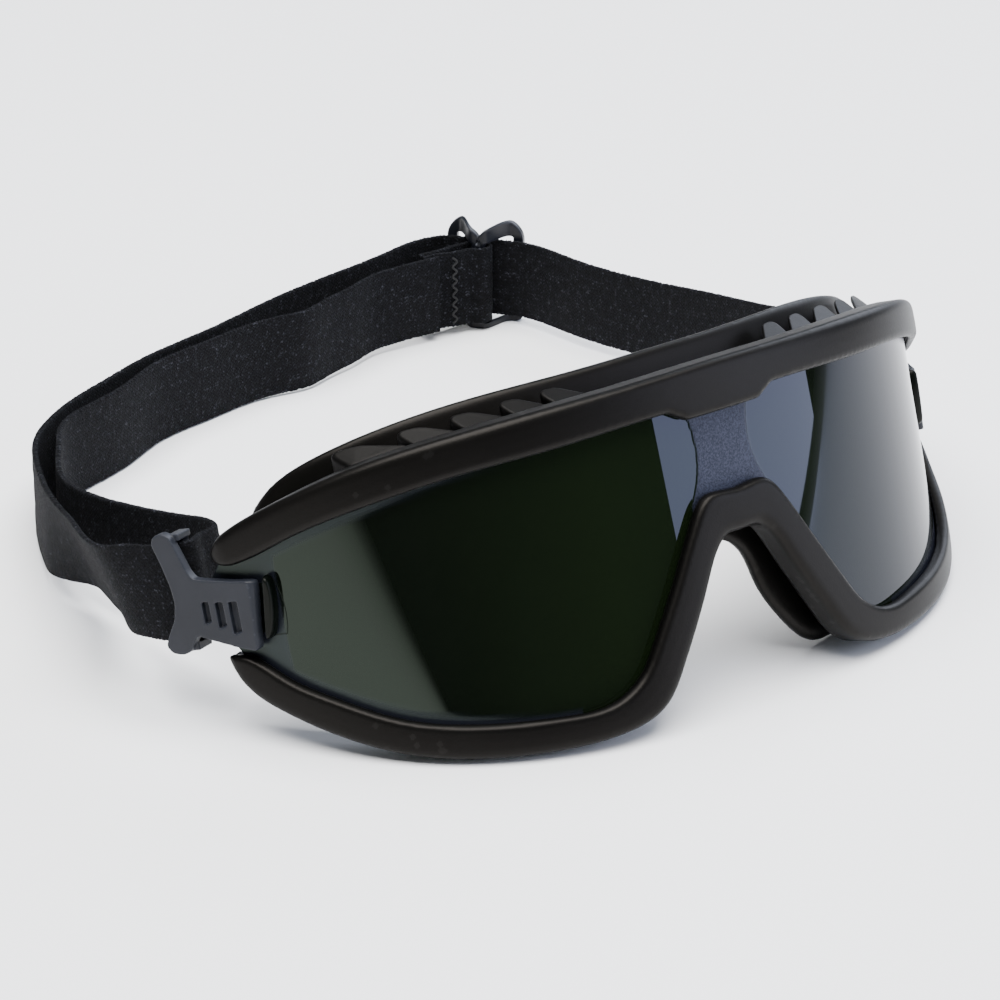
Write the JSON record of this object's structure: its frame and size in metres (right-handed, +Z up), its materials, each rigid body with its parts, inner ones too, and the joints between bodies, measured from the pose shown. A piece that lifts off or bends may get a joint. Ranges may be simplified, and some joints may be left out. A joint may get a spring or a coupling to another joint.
{
  "type": "welding goggles",
  "caption": "Dark-shade welding goggles: one wraparound lens in a soft vented frame, with side clips and an elastic headband on a slide adjuster.",
  "frame": {"origin": "middle of the whole object's footprint, on the surface it stands on", "axes": "+X to the wearer's right-hand side of the picture (the lens's mirror plane is X = 0), -Y the way the lens faces, +Y back along the headband, +Z up"},
  "size_m": [0.2053, 0.2094, 0.0688],
  "materials": {
    "soft_black_frame": "matte moulded",
    "shade_green_lens": "polished dark green tint",
    "vent_black": "satin moulded",
    "anchor_green_black": "polished",
    "slate_clip": "satin moulded",
    "slate_slider": "satin moulded",
    "black_elastic": "knitted elastic",
    "tack_thread": "twisted thread"
  },
  "bodies": {
    "goggle": {"frame_body": "soft_black_frame", "lens": "shade_green_lens", "vent_hood_left_1": "vent_black", "vent_hood_left_2": "vent_black", "vent_hood_left_3": "vent_black", "vent_hood_left_4": "vent_black", "vent_hood_left_5": "vent_black", "vent_hood_right_1": "vent_black", "vent_hood_right_2": "vent_black", "vent_hood_right_3": "vent_black", "vent_hood_right_4": "vent_black", "vent_hood_right_5": "vent_black", "clip_anchor_left": "anchor_green_black", "clip_anchor_right": "anchor_green_black"},
    "headband": {"strap_clip_left": "slate_clip", "strap_clip_right": "slate_clip", "elastic_strap": "black_elastic", "bar_tack_right": "tack_thread"},
    "band_slide": {"strap_slider": "slate_slider", "strap_sewn_loop": "black_elastic", "bar_tack_slider": "tack_thread"}
  },
  "joints": [
    {"name": "headband_swing", "type": "hinge", "parent": "goggle", "child": "headband", "pos_m": [0, -0.05088, 0.02544], "axis": [1, 0, 0], "range_deg": [-5, 5]},
    {"name": "slide_adjust", "type": "slide", "parent": "headband", "child": "band_slide", "axis": [-0.6073, 0.7944, 0], "range_m": [0, 0.004]}
  ]
}
